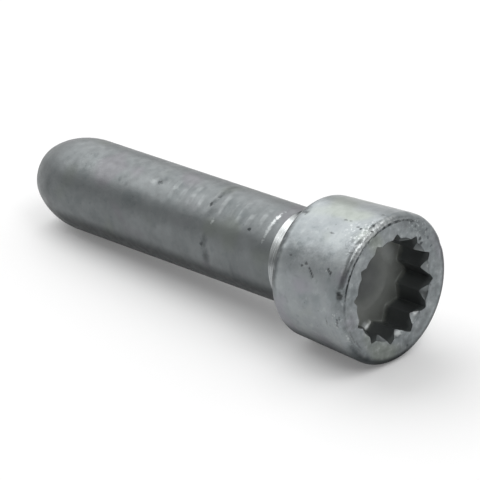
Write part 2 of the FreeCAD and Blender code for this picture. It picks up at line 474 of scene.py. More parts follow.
@dataclass
class Shank:
    """Rounded point, threaded shank, run-out and plain neck."""

    thread_radius: float = 7.0
    neck_radius: float = 6.35
    neck_length: float = 3.1
    neck_slant: float = 0.5
    neck_slant_deg: float = 100.0
    runout: float = 0.9
    neck_fillet: float = 0.6
    length: float = 55.0
    point_length: float = 8.0
    point_radius: float = 4.5
    point_round: float = 0.8
    centre_flat: float = 0.5
    plain_length: float = 1.0
    round_steps: int = 6
    point_steps: int = 18
    neck_steps: int = 5
    thread: RolledThread = field(default_factory=RolledThread)

    @property
    def point_arc(self) -> float:
        """Radius of the point's long arc, which runs on from the shank."""
        drop = self.thread_radius - self.point_radius
        return (self.point_length**2 + drop**2) / (2 * drop)

    @property
    def thread_stop(self) -> float:
        """Where the point starts, along the axis."""
        return self.point_length - self.length

    @property
    def thread_start(self) -> float:
        """Where the thread stops under the head, before its run-out."""
        return -self.neck_length - self.plain_length

    def point_stations(self) -> list[Station]:
        """Work out the rings of the end face and the point.

        Returns:
            Stations from the middle of the end face to the start of the point.
        """
        arc_centre = (self.thread_stop, self.thread_radius - self.point_arc)
        reach = self.point_arc - self.point_round
        rim_along = self.point_length - self.point_round
        rim_centre = (self.point_round - self.length, arc_centre[1] + math.sqrt(reach**2 - rim_along**2))
        turn = 90 + math.degrees(math.asin(rim_along / reach))
        end = (-self.length, self.centre_flat)
        stations = line(end, (-self.length, rim_centre[1]), self.round_steps)
        stations += arc(rim_centre, self.point_round, 180, turn, self.round_steps)[1:]
        return stations + arc(arc_centre, self.point_arc, turn, 90, self.point_steps)[1:]

    def slanted(self, angle: float) -> float:
        """How far the thread's end leans away from the head at an angle."""
        return self.neck_slant * math.cos(angle - math.radians(self.neck_slant_deg))

    def draw(self, angles: list[float]) -> TurnedSkin:
        """Draw the skin from the point's end to the root of the neck.

        Args:
            angles: Angles of the columns.

        Returns:
            The skin, open under the head.
        """
        skin = TurnedSkin("hub_bolt_skin", angles, (-self.length, self.centre_flat))
        skin.rings(self.point_stations())
        neck_stop = self.runout - self.neck_length
        skin.rings([(self.thread_start, self.thread_radius)])
        crest = (-self.neck_length, self.thread_radius)
        for along, out in [crest] + line(crest, (neck_stop, self.neck_radius), self.neck_steps):
            skin.ring(lambda angle: (along - self.slanted(angle), out))
        neck_from = (neck_stop + self.neck_slant, self.neck_radius)
        neck_to = (-self.neck_fillet, self.neck_radius)
        skin.rings(line(neck_from, neck_to, self.neck_steps))
        fillet_centre = (-self.neck_fillet, self.neck_radius + self.neck_fillet)
        skin.rings(arc(fillet_centre, self.neck_fillet, 270, 360, self.neck_steps)[1:])
        return skin

    def cut_thread(self, skin: TurnedSkin) -> None:
        """Divide the shank finely and press the thread's groove into it.

        Args:
            skin: The skin, with one long band of faces between the point and the run-out.
        """
        low, high = self.thread_stop, self.thread_start
        skin.divide(low, high, round((high - low) / self.thread.pitch * self.thread.rings_per_pitch))
        mesh = bmesh.from_edit_mesh(skin.piece.data)
        for vert in mesh.verts:
            if low + NEAR_MM < vert.co.z < high + NEAR_MM:
                angle = math.atan2(vert.co.y, vert.co.x)
                radius = math.hypot(vert.co.x, vert.co.y)
                share = 1 - self.thread.groove(vert.co.z, angle) / radius
                vert.co.x *= share
                vert.co.y *= share
        bmesh.update_edit_mesh(skin.piece.data)


@dataclass
class Head:
    """Cylindrical head with a little forging draft, rounded rims and a crease inside the face's rim.

    The crease starts and is whole at two cosines of the angle to its side.
    """

    height: float = 14.0
    face_radius: float = 10.85
    draft_deg: float = 2.8
    face_round: float = 0.9
    rear_round: float = 1.3
    crease_width: float = 0.24
    crease_depth: float = 0.08
    crease_deg: float = 138.0
    crease_low: float = -0.15
    crease_high: float = 0.45
    face_margin: float = 0.3
    rear_steps: int = 12
    side_steps: int = 30
    front_steps: int = 10
    socket: DriverSocket = field(default_factory=DriverSocket)

    @property
    def rear_radius(self) -> float:
        """Radius that the head's side would have at the bearing face."""
        return self.face_radius - self.height * math.tan(math.radians(self.draft_deg))

    def creased(self, angle: float) -> float:
        """Depth of the crease at the face's rim, which runs out on the side away from crease_deg."""
        facing = math.cos(angle - math.radians(self.crease_deg))
        return self.crease_depth * smooth_step(self.crease_low, self.crease_high, facing)

    def draw(self, skin: TurnedSkin) -> None:
        """Draw the bearing face, the side, the face and the socket.

        Args:
            skin: The skin, open at the root of the neck.
        """
        draft = math.radians(self.draft_deg)
        slant = math.tan(draft), 1 / math.cos(draft)
        rear_centre = (self.rear_round, self.rear_radius + self.rear_round * (slant[0] - slant[1]))
        face_centre = (
            self.height - self.face_round,
            self.face_radius - self.face_round * (slant[0] + slant[1]),
        )
        normal = 90 + self.draft_deg
        rear = arc(rear_centre, self.rear_round, 180, normal, self.rear_steps)
        front = arc(face_centre, self.face_round, normal, 0, self.front_steps)
        skin.rings(rear)
        skin.rings(line(rear[-1], front[0], self.side_steps))
        skin.rings(front[1:])
        rim = front[-1][1]
        for share in (0.33, 0.67):
            skin.ring(lambda angle: (self.height - self.creased(angle), rim - self.crease_width * share))
        inner = (self.height, rim - self.crease_width)
        face = [inner] + line(inner, (self.height, inner[1] - self.face_margin), 2)
        skin.rings(face)
        self.socket.cut(skin, self.height, face[-1][1])


@dataclass(frozen=True)
class BoltAxes:
    """Where the bolt's own axes lie in the row frame."""

    placement: Matrix

    @classmethod
    def from_record(cls, record: dict, head_height: float) -> "BoltAxes":
        """Work out the bolt's place from its driver socket.

        Args:
            record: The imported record.
            head_height: Distance from the bearing face to the head's face, in millimetres.

        Returns:
            The axes. The bolt's X is the row's Y, and its Z points out of the head.
        """
        mount = next(item for item in record["mounts"] if item["name"] == "driver_socket")
        along = Vector(mount["axis"]).normalized()
        across = Vector((0, 1, 0))
        up = along.cross(across)
        origin = Vector(mount["pos_m"]) - along * head_height * MM
        turned = Matrix((across, up, along)).transposed().to_4x4()
        return cls(Matrix.Translation(origin) @ turned)


@dataclass(frozen=True)
class Mark:
    """A soft oval spot on the bolt's skin, in millimetres and degrees.

    Its reach is half its size along the axis and out from it, and its sweep is half its width round the axis.
    """

    along: float
    out: float
    angle_deg: float
    reach: float
    sweep: float
    strength: float = 1.0

    def depth_at(self, along: float, out: float, angle_deg: float) -> float:
        """Depth of the dent that the mark stands for, whole in its inner third.

        Args:
            along: Place along the axis.
            out: Place out from the axis.
            angle_deg: Angle about the axis.

        Returns:
            Depth in millimetres.
        """
        around = math.radians(angle_deg - self.angle_deg) * self.out
        away = math.hypot(
            (along - self.along) / self.reach, (out - self.out) / self.reach, around / self.sweep,
        )
        return self.strength * smooth_step(1.0, 0.3, away)


class FinishBench:
    """Builds one finish's nodes, with the bolt's own coordinates at hand."""

    def __init__(self, name: str, axes: BoltAxes) -> None:
        """Start an empty material.

        Args:
            name: The material's name.
            axes: The bolt's own axes.
        """
        self.made = bpy.data.materials.new(name)
        self.made.use_nodes = True
        self.tree = self.made.node_tree
        self.tree.nodes.clear()
        coordinates = add_node(self.tree, "TexCoord", {})
        mapping = add_node(self.tree, "Mapping", {
            "Vector": coordinates.outputs["Object"],
            "Location": axes.placement.to_translation(),
            "Rotation": axes.placement.to_euler(),
            "Scale": (MM, MM, MM),
        }, vector_type="TEXTURE")
        self.place = mapping.outputs[0]
        parts = add_node(self.tree, "SeparateXYZ", {0: self.place})
        flat = add_node(self.tree, "CombineXYZ", {"X": parts.outputs["X"], "Y": parts.outputs["Y"]})
        self.along = parts.outputs["Z"]
        self.out = self.node("VectorMath", flat.outputs[0], output="Value", operation="LENGTH")
        # The arc tangent jumps at half a turn, so it is taken half a turn off and gives 0 to 360 degrees.
        back = add_node(self.tree, "VectorMath", {0: flat.outputs[0], "Scale": -1.0}, operation="SCALE")
        turned = add_node(self.tree, "SeparateXYZ", {0: back.outputs[0]})
        half_turn_off = self.node("Math", turned.outputs["Y"], turned.outputs["X"], operation="ARCTAN2")
        radians = self.node("Math", half_turn_off, math.pi, operation="ADD")
        self.angle = self.node("Math", radians, operation="DEGREES")
        self.polar = self.node("CombineXYZ", self.along, self.out, self.angle)

    def node(self, kind: str, *values: object, output: int | str = 0, **settings: object) -> Socket:
        """Add a node whose inputs come in order.

        Args:
            kind: The node's type, without the leading "ShaderNode".
            values: Its first inputs, sockets or values.
            output: Name or number of the output that is wanted.
            settings: Properties of the node itself.

        Returns:
            The output.
        """
        return add_node(self.tree, kind, dict(enumerate(values)), **settings).outputs[output]

    def noise(
        self, size_mm: float, detail: float = 2.0, stretch: tuple[float, float, float] = (1, 1, 1),
    ) -> Socket:
        """Noise with lumps of about one size, around 0.5.

        Args:
            size_mm: Size of the lumps.
            detail: How many finer layers it has.
            stretch: How much longer the lumps are along each of the bolt's axes.

        Returns:
            The noise.
        """
        shape = tuple(1 / (size_mm * times) for times in stretch)
        scaled = self.node("VectorMath", self.place, shape, operation="MULTIPLY")
        return add_node(self.tree, "TexNoise", {"Vector": scaled, "Detail": detail, "Scale": 1.0}).outputs[0]

    def band(
        self, value: Socket, low: float, high: float, at_low: float = 0.0, at_high: float = 1.0,
    ) -> Socket:
        """Change smoothly from one value to another.

        Args:
            value: What it goes by.
            low: Where the change starts. It may be more than high.
            high: Where it ends.
            at_low: The result before the change.
            at_high: The result after it.

        Returns:
            The result.
        """
        return add_node(self.tree, "MapRange", {
            "Value": value, "From Min": low, "From Max": high, "To Min": at_low, "To Max": at_high,
        }, interpolation_type="SMOOTHSTEP").outputs[0]

    def mix(self, share: Socket | float, first: Socket | str, second: Socket | str) -> Socket:
        """Mix two colours.

        Args:
            share: 0 gives the first colour and 1 the second.
            first: A socket or a hex code.
            second: The same.

        Returns:
            The mixed colour.
        """
        colours = [linear(colour) if isinstance(colour, str) else colour for colour in (first, second)]
        node = add_node(self.tree, "Mix", {0: share, 6: colours[0], 7: colours[1]}, data_type="RGBA")
        return node.outputs[2]

    def marks(self, marks: tuple[Mark, ...], soft: float, ragged: float) -> Socket:
        """Where a set of marks lies: 1 inside them, falling to 0 at their edges.

        Args:
            marks: The marks.
            soft: Share of each mark's size over which it falls off.
            ragged: How uneven its edge is, as a share of its size.

        Returns:
            The strongest mark at each place.
        """
        lumps = self.node("Math", self.noise(RAGGED_EDGE_MM, 3.0), 0.5, operation="SUBTRACT")
        uneven = self.node("Math", lumps, 4 * ragged, operation="MULTIPLY")
        strongest = self.node("Math", self.along, 0.0, operation="MULTIPLY")
        for mark in marks:
            per_degree = mark.out * math.radians(1)
            sizes = (1 / mark.reach, 1 / mark.reach, per_degree / mark.sweep)
            middle = (mark.along, mark.out, mark.angle_deg)
            away = self.node("VectorMath", self.polar, middle, operation="SUBTRACT")
            away = self.node("VectorMath", away, sizes, operation="MULTIPLY")
            length = self.node("VectorMath", away, output="Value", operation="LENGTH")
            length = self.node("Math", length, uneven, operation="ADD")
            inside = self.band(length, 1.0, 1.0 - soft, 0.0, mark.strength)
            strongest = self.node("Math", strongest, inside, operation="MAXIMUM")
        return strongest

    def ring(self, along: float, out: float, width: float) -> Socket:
        """Where a ring about the axis lies.

        Args:
            along: Place of its line along the axis.
            out: Radius of its line.
            width: Its width.

        Returns:
            1 on its line and 0 from half its width on.
        """
        away = self.node("VectorMath", self.polar, (along, out, 0), operation="SUBTRACT")
        flat = self.node("VectorMath", away, (1, 1, 0), operation="MULTIPLY")
        length = self.node("VectorMath", flat, output="Value", operation="LENGTH")
        return self.band(length, width / 2, width / 8)

    def facing(self, angle_deg: float, low: float, high: float) -> Socket:
        """Rise from 0 to 1 towards one side of the bolt.

        Args:
            angle_deg: The side's angle.
            low: Cosine of the angle to that side where it starts.
            high: Cosine where it reaches 1.

        Returns:
            The share.
        """
        turned = self.node("Math", self.angle, angle_deg, operation="SUBTRACT")
        turned = self.node("Math", turned, operation="RADIANS")
        return self.band(self.node("Math", turned, operation="COSINE"), low, high)

    def bump(self, height: Socket, depth_mm: float, below: Socket | None = None) -> Socket:
        """Raise a relief.

        Args:
            height: Its height, from 0 to 1.
            depth_mm: What a height of 1 stands for.
            below: Relief that it lies on, if any.

        Returns:
            The bent normals.
        """
        inputs = {"Height": height, "Distance": depth_mm * MM, "Strength": 1.0}
        if below is not None:
            inputs["Normal"] = below
        return add_node(self.tree, "Bump", inputs).outputs["Normal"]

    def metal(
        self, colour: Socket, roughness: Socket, relief: Socket, metallic: Socket | float,
    ) -> bpy.types.Material:
        """Finish the material with its metal shader.

        Args:
            colour: Its colour.
            roughness: Its roughness.
            relief: Its bent normals.
            metallic: How much it mirrors as metal does; the rest is dull dirt or oxide.

        Returns:
            The finished material.
        """
        shader = add_node(self.tree, "BsdfPrincipled", {
            "Base Color": colour, "Metallic": metallic, "Roughness": roughness, "Normal": relief,
        })
        add_node(self.tree, "OutputMaterial", {"Surface": shader.outputs["BSDF"]})
        return self.made


@dataclass(frozen=True)
class ZincFlakeCoat:
    """Dipped and baked zinc flake coat on forged steel: matt silver grey, cloudy, dry, pitted and stained.

    The real flakes are finer than the render shows, so their grain is drawn at 0.28 mm. It takes the polish
    off the highlights, and the low lumps under it break their edges, so that the steel reads as forged.
    """

    name: str
    pale: str
    mid: str
    dark: str
    green: str
    violet: str
    roughness: float
    cloud_mm: float = 4.5
    cast_mm: float = 7.0
    cast_share: float = 0.7
    dust_mm: float = 1.3
    dust_pale: float = 0.7
    dust_dark: float = 0.9
    speck_mm: float = 0.4
    speck_share: float = 0.3
    fleck_share: float = 0.55
    sheen_mm: float = 1.1
    grain_mm: float = 0.28
    grain_depth: float = 0.012
    lump_mm: float = 1.7
    lump_depth: float = 0.05
    rubble_mm: float = 0.55
    rubble_depth: float = 0.1
    pit_depth: float = 0.03
    pit_share: float = 0.8
    stain_share: float = 0.55
    metallic: float = 0.9
    # Near-black for specks, pits and stains, and also the colour of all the painted shade.
    soot_and_shade: str = "24282a"
    # Pale steel for chips and worn spots, and also the colour of the painted highlights.
    bare_steel_and_highlight: str = "d5d9d9"
    # Painted shade along the underside, which also makes the coat rougher there.
    underside_deg: float = 252.0
    underside_low: float = 0.5
    underside_high: float = 0.76
    underside_out: float = 5.6
    underside_shade_strength: float = 0.8
    underside_rough: float = 0.0
    pits: tuple[Mark, ...] = ()
    stains: tuple[Mark, ...] = ()
    # Scuff marks, several of them painted highlights, laid in pale steel.
    scuffs_and_highlights: tuple[Mark, ...] = ()
    rough_patches: tuple[Mark, ...] = ()

    def tone(self, bench: FinishBench) -> Socket:
        """Lay the coat's grey, before any marks of use.

        Args:
            bench: The bench that the finish is built on.

        Returns:
            A cloudy grey with finer dust, black specks in the dark clouds and faint green and violet casts.
        """
        clouds = bench.noise(self.cloud_mm, 4.0)
        colour = bench.mix(bench.band(clouds, 0.5, 0.72), self.mid, self.pale)
        colour = bench.mix(bench.band(clouds, 0.5, 0.3), colour, self.dark)
        dust = bench.noise(self.dust_mm, 4.0)
        colour = bench.mix(bench.band(dust, 0.52, 0.72, 0.0, self.dust_pale), colour, self.pale)
        colour = bench.mix(bench.band(dust, 0.46, 0.26, 0.0, self.dust_dark), colour, self.dark)
        specks = bench.band(bench.noise(self.speck_mm, 3.0), 0.64, 0.74, 0.0, self.speck_share)
        specks = bench.node("Math", specks, bench.band(clouds, 0.62, 0.42), operation="MULTIPLY")
        colour = bench.mix(specks, colour, self.soot_and_shade)
        casts = bench.noise(self.cast_mm, 1.0)
        colour = bench.mix(bench.band(casts, 0.56, 0.7, 0.0, self.cast_share), colour, self.green)
        return bench.mix(bench.band(casts, 0.44, 0.32, 0.0, self.cast_share), colour, self.violet)

    def underside(self, bench: FinishBench) -> Socket:
        """Where shade is painted along the underside, away from the faces that look along the axis.

        Args:
            bench: The bench that the finish is built on.

        Returns:
            The share of painted shade.
        """
        below = bench.facing(self.underside_deg, self.underside_low, self.underside_high)
        outside = bench.band(bench.out, self.underside_out, self.underside_out + 1.0)
        return bench.node("Math", below, outside, operation="MULTIPLY")

    def material(self, axes: BoltAxes) -> bpy.types.Material:
        """Build the material.

        Args:
            axes: The bolt's own axes.

        Returns:
            The finished material.
        """
        bench = FinishBench(self.name, axes)
        pits = bench.marks(self.pits, soft=0.8, ragged=0.45)
        stains = bench.marks(self.stains, soft=0.9, ragged=0.15)
        scuffs_and_highlights = bench.marks(self.scuffs_and_highlights, soft=0.8, ragged=0.55)
        rough_patches = bench.marks(self.rough_patches, soft=0.6, ragged=0.2)
        below = self.underside(bench)
        colour = self.edges(bench, self.tone(bench))
        stained = bench.node("Math", stains, self.stain_share, operation="MULTIPLY")
        colour = bench.mix(stained, colour, self.soot_and_shade)
        flecks = bench.band(bench.noise(self.speck_mm, 3.0), 0.54, 0.64, 0.0, self.fleck_share)
        colour = bench.mix(bench.node("Math", flecks, rough_patches, operation="MULTIPLY"), colour, self.bare_steel_and_highlight)
        colour = bench.mix(bench.node("Math", pits, self.pit_share, operation="MULTIPLY"), colour, self.soot_and_shade)
        # Painted shade along the underside.
        underside_shade = bench.node("Math", below, self.underside_shade_strength, operation="MULTIPLY")
        colour = bench.mix(underside_shade, colour, self.soot_and_shade)
        # Scuff marks in pale steel, several of them painted highlights on lit edges and flanks.
        colour = bench.mix(scuffs_and_highlights, colour, self.bare_steel_and_highlight)
        sheen = bench.noise(self.sheen_mm, 3.0)
        roughness = bench.band(sheen, 0.3, 0.7, self.roughness - 0.05, self.roughness + 0.06)
        polished = bench.node("Math", scuffs_and_highlights, 0.06, operation="MULTIPLY")
        roughness = bench.node("Math", roughness, polished, operation="SUBTRACT")
        dulled = bench.node("Math", below, self.underside_rough, operation="MULTIPLY")
        roughness = bench.node("Math", roughness, dulled, operation="ADD")
        relief = bench.bump(bench.noise(self.lump_mm, 2.0), self.lump_depth)
        relief = bench.bump(bench.noise(self.grain_mm, 3.0), self.grain_depth, relief)
        rubble = bench.node("Math", bench.noise(self.rubble_mm, 3.0), rough_patches, operation="MULTIPLY")
        relief = bench.bump(rubble, self.rubble_depth, relief)
        relief = bench.bump(bench.node("Math", 1.0, pits, operation="SUBTRACT"), self.pit_depth, relief)
        return bench.metal(colour, roughness, relief, self.metallic)

    def edges(self, bench: FinishBench, colour: Socket) -> Socket:
        """Change nothing at the edges; a finish with edges of its own does."""
        return colour


@dataclass(frozen=True)
class ThreadCoat(ZincFlakeCoat):
    """The shank's coat: greyer and smoother than the head's, with painted highlights on the upper near side.
    """

    lump_depth: float = 0.036
    dust_pale: float = 0.45
    dust_dark: float = 0.5
    pitch: float = 2.0
    # Painted highlights: on the crests, and as a streak along the upper near side.
    crest_highlight_deg: float = 119.0
    crest_highlight_share: float = 0.13
    patch_mm: float = 1.8
    streak_highlight_deg: float = 126.0
    streak_highlight_share: float = 0.055

    def edges(self, bench: FinishBench, colour: Socket) -> Socket:
        """Paint highlights on the crests near the head, and a faint painted light streak further out.

        Args:
            bench: The bench that the finish is built on.
            colour: The coat's colour.

        Returns:
            The colour with its painted highlights.
        """
        rise = bench.node("Math", bench.along, self.pitch, operation="DIVIDE")
        around = bench.node("Math", bench.angle, 360.0, operation="DIVIDE")
        turns = bench.node("Math", rise, around, operation="SUBTRACT")
        radians = bench.node("Math", turns, FULL_TURN, operation="MULTIPLY")
        crest = bench.band(bench.node("Math", radians, operation="COSINE"), -0.3, 0.8)
        # Painted highlights on the crests, on the lit upper near side only.
        worn = bench.node("Math", crest, bench.facing(self.crest_highlight_deg, 0.95, 0.99), operation="MULTIPLY")
        worn = bench.node("Math", worn, bench.band(bench.along, -34.0, -20.0), operation="MULTIPLY")
        worn = bench.node("Math", worn, bench.band(bench.along, -4.5, -7.0), operation="MULTIPLY")
        uneven = bench.band(bench.noise(self.patch_mm, 2.0), 0.4, 0.62, 0.0, self.crest_highlight_share)
        colour = bench.mix(bench.node("Math", worn, uneven, operation="MULTIPLY"), colour, self.bare_steel_and_highlight)
        # A painted light streak along the upper near side.
        painted_highlight = bench.facing(self.streak_highlight_deg, 0.965, 0.997)
        painted_highlight = bench.node("Math", painted_highlight, self.streak_highlight_share, operation="MULTIPLY")
        painted_highlight = bench.node("Math", painted_highlight, bench.band(bench.along, -46.5, -40.0), operation="MULTIPLY")
        painted_highlight = bench.node("Math", painted_highlight, bench.band(bench.along, -15.0, -21.0), operation="MULTIPLY")
        return bench.mix(painted_highlight, colour, self.bare_steel_and_highlight)


@dataclass(frozen=True)
class HeadCoat(ZincFlakeCoat):
    """The head's coat: mottled on the face, worn pale on its rim with a painted highlight, with dirt and
    painted shade in the crease inside it and painted shade on its far and rear rims.
    """

    underside_low: float = 0.7
    underside_high: float = 0.93
    underside_out: float = 9.4
    underside_rough: float = 0.35
    mottle_mm: float = 1.0
    rim_along: float = 13.7
    rim_out: float = 10.55
    wear_and_highlight_mm: float = 0.5
    wear_and_highlight_width: float = 1.4
    wear_and_highlight_deg: float = 112.0
    far_width: float = 1.8
    far_deg: float = 326.0
    crease_mm: float = 0.6
    crease_out: float = 9.83
    crease_width: float = 0.6
    crease_deg: float = 120.0
    rear_mm: float = 0.8
    rear_along: float = 0.8
    rear_out: float = 10.05
    rear_width: float = 2.0
    rear_deg: float = 150.0

    def edges(self, bench: FinishBench, colour: Socket) -> Socket:
        """Mottle the face, wear its rim with a painted highlight, darken the crease with dirt and painted
        shade, and paint shade onto the far and rear rims.

        Args:
            bench: The bench that the finish is built on.
            colour: The coat's colour.

        Returns:
            The colour with its worn edges, painted highlight and painted shade.
        """
        return self.dirt_and_shade(bench, self.worn(bench, self.mottled(bench, colour)))

    def mottled(self, bench: FinishBench, colour: Socket) -> Socket:
        """Mottle the face in dark and pale, as a handled flat face looks beside the cleaner side.

        Args:
            bench: The bench that the finish is built on.
            colour: The coat's colour.

        Returns:
            The mottled colour.
        """
        mottle = bench.noise(self.mottle_mm, 4.0)
        on_face = bench.band(bench.along, self.rim_along, self.rim_along + 0.25)
        dark = bench.node("Math", on_face, bench.band(mottle, 0.6, 0.3, 0.1, 0.34), operation="MULTIPLY")
        pale = bench.node("Math", on_face, bench.band(mottle, 0.56, 0.74, 0.0, 0.2), operation="MULTIPLY")
        return bench.mix(pale, bench.mix(dark, colour, self.soot_and_shade), self.bare_steel_and_highlight)

    def worn(self, bench: FinishBench, colour: Socket) -> Socket:
        """Wear the face's rim to uncoated steel at the top, a broken bright line that sharpens the edge; it
        is partly a painted highlight.

        Args:
            bench: The bench that the finish is built on.
            colour: The coat's colour.

        Returns:
            The colour with its wear and painted highlight.
        """
        rim = bench.ring(self.rim_along + 0.1, self.rim_out - 0.15, self.wear_and_highlight_width)
        # Wear and a painted highlight along the top of the rim.
        worn = bench.node("Math", rim, bench.facing(self.wear_and_highlight_deg, 0.84, 0.97), operation="MULTIPLY")
        broken = bench.band(bench.noise(self.wear_and_highlight_mm, 3.0), 0.4, 0.62, 0.35, 0.85)
        return bench.mix(bench.node("Math", worn, broken, operation="MULTIPLY"), colour, self.bare_steel_and_highlight)

    def dirt_and_shade(self, bench: FinishBench, colour: Socket) -> Socket:
        """Darken the face's far rim and the rear rim with painted shade, and its crease with dirt and painted
        shade, so that the head stands off the floor.

        Args:
            bench: The bench that the finish is built on.
            colour: The coat's colour.

        Returns:
            The colour with its painted shade.
        """
        # Painted shade on the far side of the face's rim.
        far_rim_shade = bench.ring(self.rim_along + 0.1, self.rim_out - 0.1, self.far_width)
        far_side = bench.node("Math", bench.facing(self.far_deg, 0.05, 0.6), 0.7, operation="MULTIPLY")
        colour = bench.mix(bench.node("Math", far_rim_shade, far_side, operation="MULTIPLY"), colour, self.soot_and_shade)
        # Dirt and painted shade in the crease, on its upper near side.
        crease = bench.ring(self.rim_along + 0.3, self.crease_out, self.crease_width)
        crease = bench.node("Math", crease, bench.facing(self.crease_deg, 0.25, 0.9), operation="MULTIPLY")
        ragged = bench.band(bench.noise(self.crease_mm, 3.0), 0.38, 0.62, 0.2, 1.0)
        colour = bench.mix(bench.node("Math", crease, ragged, operation="MULTIPLY"), colour, self.soot_and_shade)
        # Painted shade on the rear rim, on its upper near side.
        rear = bench.ring(self.rear_along, self.rear_out, self.rear_width)
        rear = bench.node("Math", rear, bench.facing(self.rear_deg, 0.72, 0.96), operation="MULTIPLY")
        blotchy = bench.band(bench.noise(self.rear_mm, 3.0), 0.3, 0.6, 0.32, 0.68)
        return bench.mix(bench.node("Math", rear, blotchy, operation="MULTIPLY"), colour, self.soot_and_shade)


@dataclass(frozen=True)
class TurnedNeck:
    """Bare turned steel between thread and head: bright, smooth, with fine tool lines round it, a painted
    highlight on its upper near side and dirt and painted shade along its top.

    It is the one bright band on the bolt. Real tool lines are finer than the render shows, so they are drawn
    0.12 mm apart. They change the sheen more than the relief, which keeps the highlight from looking poured.
    """

    name: str = "turned_neck_with_painted_light"
    bright: str = "eaeeee"
    dull: str = "b2b6b7"
    dirt_and_shade: str = "54595b"
    highlight_deg: float = 128.0
    dirt_and_shade_deg: float = 68.0
    line_mm: float = 0.12
    line_depth: float = 0.0001
    patch_mm: float = 1.5
    roughness: float = 0.26
    metallic: float = 0.46

    def material(self, axes: BoltAxes) -> bpy.types.Material:
        """Build the material.

        Args:
            axes: The bolt's own axes.

        Returns:
            The finished material.
        """
        bench = FinishBench(self.name, axes)
        lines = bench.noise(self.line_mm, 2.0, stretch=(30, 30, 1))
        uneven = bench.band(bench.noise(self.patch_mm, 3.0), 0.25, 0.5, 0.7, 1.0)
        # Painted highlight: the upper near side is laid on in the bright colour.
        painted_highlight = bench.node("Math", bench.facing(self.highlight_deg, 0.8, 0.96), uneven, operation="MULTIPLY")
        colour = bench.mix(painted_highlight, self.dull, self.bright)
        # Dirt and painted shade along the top, towards the far side.
        colour = bench.mix(bench.facing(self.dirt_and_shade_deg, 0.84, 0.94), colour, self.dirt_and_shade)
        roughness = bench.band(lines, 0.3, 0.7, self.roughness - 0.02, self.roughness + 0.03)
        return bench.metal(colour, roughness, bench.bump(lines, self.line_depth), self.metallic)


@dataclass(frozen=True)
class SocketGrimeAndShade:
    """The socket's inside: coated like the head but darkened by grime and painted shade, darkest in its dish
    and on its walls, with painted light on the outer floor and painted highlights on its lit facets.

    The floor, dulled by grime, mirrors less than the walls, so the socket reads as deep and its foot as soft.
    """

    name: str = "socket_coat_with_grime_and_painted_shade"
    clean: str = "8e9394"
    floor: str = "8f928e"
    dish: str = "616463"
    wall: str = "6c6f70"
    # Pale steel, here the colour of the painted highlights and the painted light.
    bare_steel_and_highlight: str = "d5d9d9"
    face_along: float = 14.0
    floor_along: float = 8.6
    smear_mm: float = 1.2
    smear_reach: float = 1.2
    sheen_mm: float = 2.2
    grain_mm: float = 0.3
    grain_depth: float = 0.012
    roughness: float = 0.42
    floor_metallic: float = 0.4
    metallic: float = 0.85
    scuffs_and_highlights: tuple[Mark, ...] = ()

    def material(self, axes: BoltAxes) -> bpy.types.Material:
        """Build the material.

        Args:
            axes: The bolt's own axes.

        Returns:
            The finished material.
        """
        bench = FinishBench(self.name, axes)
        smear = bench.node("Math", bench.noise(self.smear_mm, 3.0), 0.5, operation="SUBTRACT")
        smear = bench.node("Math", smear, self.smear_reach, operation="MULTIPLY")
        depth = bench.node("Math", bench.along, smear, operation="ADD")
        out = bench.node("Math", bench.out, smear, operation="ADD")
        # Grime darkens the dished middle, and the outer floor is painted paler: painted light on the floor's
        # shaded part.
        colour = bench.mix(bench.band(out, 2.0, 5.6), self.dish, self.floor)
        # The walls are darker than the floor: grime and painted shade in the recess.
        colour = bench.mix(bench.band(depth, self.floor_along, self.floor_along + 0.9), colour, self.wall)
        mouth = bench.band(depth, self.face_along - 1.3, self.face_along - 0.2)
        colour = bench.mix(mouth, colour, self.clean)
        # Painted highlights and a painted patch of light, laid in pale steel.
        scuffs_and_highlights = bench.marks(self.scuffs_and_highlights, soft=0.8, ragged=0.1)
        colour = bench.mix(scuffs_and_highlights, colour, self.bare_steel_and_highlight)
        sheen = bench.noise(self.sheen_mm, 3.0)
        roughness = bench.band(sheen, 0.3, 0.7, self.roughness - 0.05, self.roughness + 0.08)
        relief = bench.bump(bench.noise(self.grain_mm, 3.0), self.grain_depth)
        wall = self.floor_along + 0.5
        metallic = bench.band(depth, self.floor_along, wall, self.floor_metallic, self.metallic)
        highlights_metallic = bench.node("Math", scuffs_and_highlights, self.metallic, operation="MULTIPLY")
        metallic = bench.node("Math", metallic, highlights_metallic, operation="MAXIMUM")
        return bench.metal(colour, roughness, relief, metallic)


